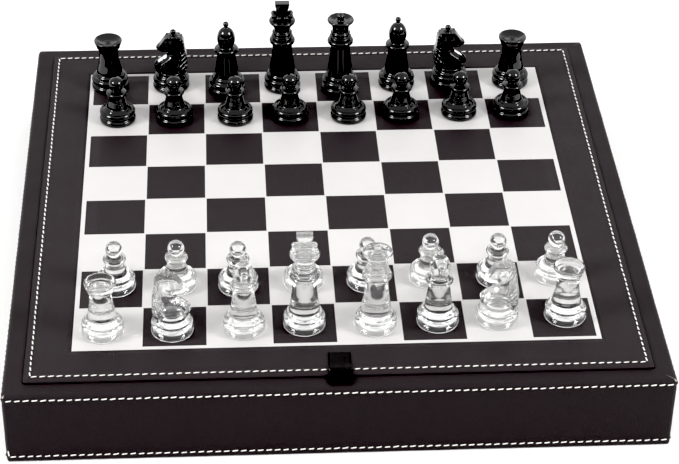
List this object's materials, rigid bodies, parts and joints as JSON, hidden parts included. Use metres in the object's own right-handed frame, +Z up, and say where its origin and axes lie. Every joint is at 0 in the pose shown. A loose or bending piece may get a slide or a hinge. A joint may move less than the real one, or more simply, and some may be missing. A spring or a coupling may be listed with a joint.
{
  "type": "chess set with storage case",
  "caption": "Chess set: glass pieces on a lift-out board that lies in a stitched leatherette storage case with a ribbon pull.",
  "frame": {"origin": "middle of the case's underside, on the table", "axes": "+Z up, -Y towards the player with the clear pieces and the ribbon, +X to that player's right"},
  "size_m": [0.3046, 0.3046, 0.091],
  "materials": {
    "fibreboard": "raw fibreboard, out of sight",
    "leatherette": "brown-black grained leatherette, satin",
    "velvet": "short black velvet",
    "felt": "black felt",
    "thread": "off-white stitching thread",
    "white_print": "white ink printed on grained leatherette",
    "satin_ribbon": "black satin ribbon",
    "clear_glass": "polished clear glass",
    "black_glass": "polished black glass"
  },
  "bodies": {
    "case": {"base_board": "fibreboard", "front_wall": "fibreboard", "back_wall": "fibreboard", "left_wall": "fibreboard", "right_wall": "fibreboard", "front_cover": "leatherette", "back_cover": "leatherette", "left_cover": "leatherette", "right_cover": "leatherette", "front_ledge": "velvet", "back_ledge": "velvet", "left_ledge": "velvet", "right_ledge": "velvet", "floor_lining": "velvet", "long_divider": "velvet", "cross_divider": "velvet", "base_felt": "felt", "case_stitching": "thread"},
    "board": {"board_core": "fibreboard", "board_cover": "leatherette", "board_print": "white_print", "board_lining": "velvet", "board_stitching": "thread", "pull_ribbon": "satin_ribbon"},
    "clear_rook_a": {"clear_rook_a": "clear_glass"},
    "clear_knight_b": {"clear_knight_b": "clear_glass"},
    "clear_bishop_c": {"clear_bishop_c": "clear_glass"},
    "clear_king": {"clear_king": "clear_glass"},
    "clear_queen": {"clear_queen": "clear_glass"},
    "clear_bishop_f": {"clear_bishop_f": "clear_glass"},
    "clear_knight_g": {"clear_knight_g": "clear_glass"},
    "clear_rook_h": {"clear_rook_h": "clear_glass"},
    "clear_pawn_a": {"clear_pawn_a": "clear_glass"},
    "clear_pawn_b": {"clear_pawn_b": "clear_glass"},
    "clear_pawn_c": {"clear_pawn_c": "clear_glass"},
    "clear_pawn_d": {"clear_pawn_d": "clear_glass"},
    "clear_pawn_e": {"clear_pawn_e": "clear_glass"},
    "clear_pawn_f": {"clear_pawn_f": "clear_glass"},
    "clear_pawn_g": {"clear_pawn_g": "clear_glass"},
    "clear_pawn_h": {"clear_pawn_h": "clear_glass"},
    "black_pawn_a": {"black_pawn_a": "black_glass"},
    "black_pawn_b": {"black_pawn_b": "black_glass"},
    "black_pawn_c": {"black_pawn_c": "black_glass"},
    "black_pawn_d": {"black_pawn_d": "black_glass"},
    "black_pawn_e": {"black_pawn_e": "black_glass"},
    "black_pawn_f": {"black_pawn_f": "black_glass"},
    "black_pawn_g": {"black_pawn_g": "black_glass"},
    "black_pawn_h": {"black_pawn_h": "black_glass"},
    "black_rook_a": {"black_rook_a": "black_glass"},
    "black_knight_b": {"black_knight_b": "black_glass"},
    "black_bishop_c": {"black_bishop_c": "black_glass"},
    "black_king": {"black_king": "black_glass"},
    "black_queen": {"black_queen": "black_glass"},
    "black_bishop_f": {"black_bishop_f": "black_glass"},
    "black_knight_g": {"black_knight_g": "black_glass"},
    "black_rook_h": {"black_rook_h": "black_glass"}
  },
  "joints": [
    {"name": "board_lift", "type": "slide", "parent": "case", "child": "board", "axis": [0, 0, 1], "range_m": [0, 0.06]},
    {"name": "clear_rook_a_lift", "type": "slide", "parent": "board", "child": "clear_rook_a", "axis": [0, 0, 1], "range_m": [0, 0.07]},
    {"name": "clear_knight_b_lift", "type": "slide", "parent": "board", "child": "clear_knight_b", "axis": [0, 0, 1], "range_m": [0, 0.07]},
    {"name": "clear_bishop_c_lift", "type": "slide", "parent": "board", "child": "clear_bishop_c", "axis": [0, 0, 1], "range_m": [0, 0.07]},
    {"name": "clear_king_lift", "type": "slide", "parent": "board", "child": "clear_king", "axis": [0, 0, 1], "range_m": [0, 0.07]},
    {"name": "clear_queen_lift", "type": "slide", "parent": "board", "child": "clear_queen", "axis": [0, 0, 1], "range_m": [0, 0.07]},
    {"name": "clear_bishop_f_lift", "type": "slide", "parent": "board", "child": "clear_bishop_f", "axis": [0, 0, 1], "range_m": [0, 0.07]},
    {"name": "clear_knight_g_lift", "type": "slide", "parent": "board", "child": "clear_knight_g", "axis": [0, 0, 1], "range_m": [0, 0.07]},
    {"name": "clear_rook_h_lift", "type": "slide", "parent": "board", "child": "clear_rook_h", "axis": [0, 0, 1], "range_m": [0, 0.07]},
    {"name": "clear_pawn_a_lift", "type": "slide", "parent": "board", "child": "clear_pawn_a", "axis": [0, 0, 1], "range_m": [0, 0.07]},
    {"name": "clear_pawn_b_lift", "type": "slide", "parent": "board", "child": "clear_pawn_b", "axis": [0, 0, 1], "range_m": [0, 0.07]},
    {"name": "clear_pawn_c_lift", "type": "slide", "parent": "board", "child": "clear_pawn_c", "axis": [0, 0, 1], "range_m": [0, 0.07]},
    {"name": "clear_pawn_d_lift", "type": "slide", "parent": "board", "child": "clear_pawn_d", "axis": [0, 0, 1], "range_m": [0, 0.07]},
    {"name": "clear_pawn_e_lift", "type": "slide", "parent": "board", "child": "clear_pawn_e", "axis": [0, 0, 1], "range_m": [0, 0.07]},
    {"name": "clear_pawn_f_lift", "type": "slide", "parent": "board", "child": "clear_pawn_f", "axis": [0, 0, 1], "range_m": [0, 0.07]},
    {"name": "clear_pawn_g_lift", "type": "slide", "parent": "board", "child": "clear_pawn_g", "axis": [0, 0, 1], "range_m": [0, 0.07]},
    {"name": "clear_pawn_h_lift", "type": "slide", "parent": "board", "child": "clear_pawn_h", "axis": [0, 0, 1], "range_m": [0, 0.07]},
    {"name": "black_pawn_a_lift", "type": "slide", "parent": "board", "child": "black_pawn_a", "axis": [0, 0, 1], "range_m": [0, 0.07]},
    {"name": "black_pawn_b_lift", "type": "slide", "parent": "board", "child": "black_pawn_b", "axis": [0, 0, 1], "range_m": [0, 0.07]},
    {"name": "black_pawn_c_lift", "type": "slide", "parent": "board", "child": "black_pawn_c", "axis": [0, 0, 1], "range_m": [0, 0.07]},
    {"name": "black_pawn_d_lift", "type": "slide", "parent": "board", "child": "black_pawn_d", "axis": [0, 0, 1], "range_m": [0, 0.07]},
    {"name": "black_pawn_e_lift", "type": "slide", "parent": "board", "child": "black_pawn_e", "axis": [0, 0, 1], "range_m": [0, 0.07]},
    {"name": "black_pawn_f_lift", "type": "slide", "parent": "board", "child": "black_pawn_f", "axis": [0, 0, 1], "range_m": [0, 0.07]},
    {"name": "black_pawn_g_lift", "type": "slide", "parent": "board", "child": "black_pawn_g", "axis": [0, 0, 1], "range_m": [0, 0.07]},
    {"name": "black_pawn_h_lift", "type": "slide", "parent": "board", "child": "black_pawn_h", "axis": [0, 0, 1], "range_m": [0, 0.07]},
    {"name": "black_rook_a_lift", "type": "slide", "parent": "board", "child": "black_rook_a", "axis": [0, 0, 1], "range_m": [0, 0.07]},
    {"name": "black_knight_b_lift", "type": "slide", "parent": "board", "child": "black_knight_b", "axis": [0, 0, 1], "range_m": [0, 0.07]},
    {"name": "black_bishop_c_lift", "type": "slide", "parent": "board", "child": "black_bishop_c", "axis": [0, 0, 1], "range_m": [0, 0.07]},
    {"name": "black_king_lift", "type": "slide", "parent": "board", "child": "black_king", "axis": [0, 0, 1], "range_m": [0, 0.07]},
    {"name": "black_queen_lift", "type": "slide", "parent": "board", "child": "black_queen", "axis": [0, 0, 1], "range_m": [0, 0.07]},
    {"name": "black_bishop_f_lift", "type": "slide", "parent": "board", "child": "black_bishop_f", "axis": [0, 0, 1], "range_m": [0, 0.07]},
    {"name": "black_knight_g_lift", "type": "slide", "parent": "board", "child": "black_knight_g", "axis": [0, 0, 1], "range_m": [0, 0.07]},
    {"name": "black_rook_h_lift", "type": "slide", "parent": "board", "child": "black_rook_h", "axis": [0, 0, 1], "range_m": [0, 0.07]}
  ]
}
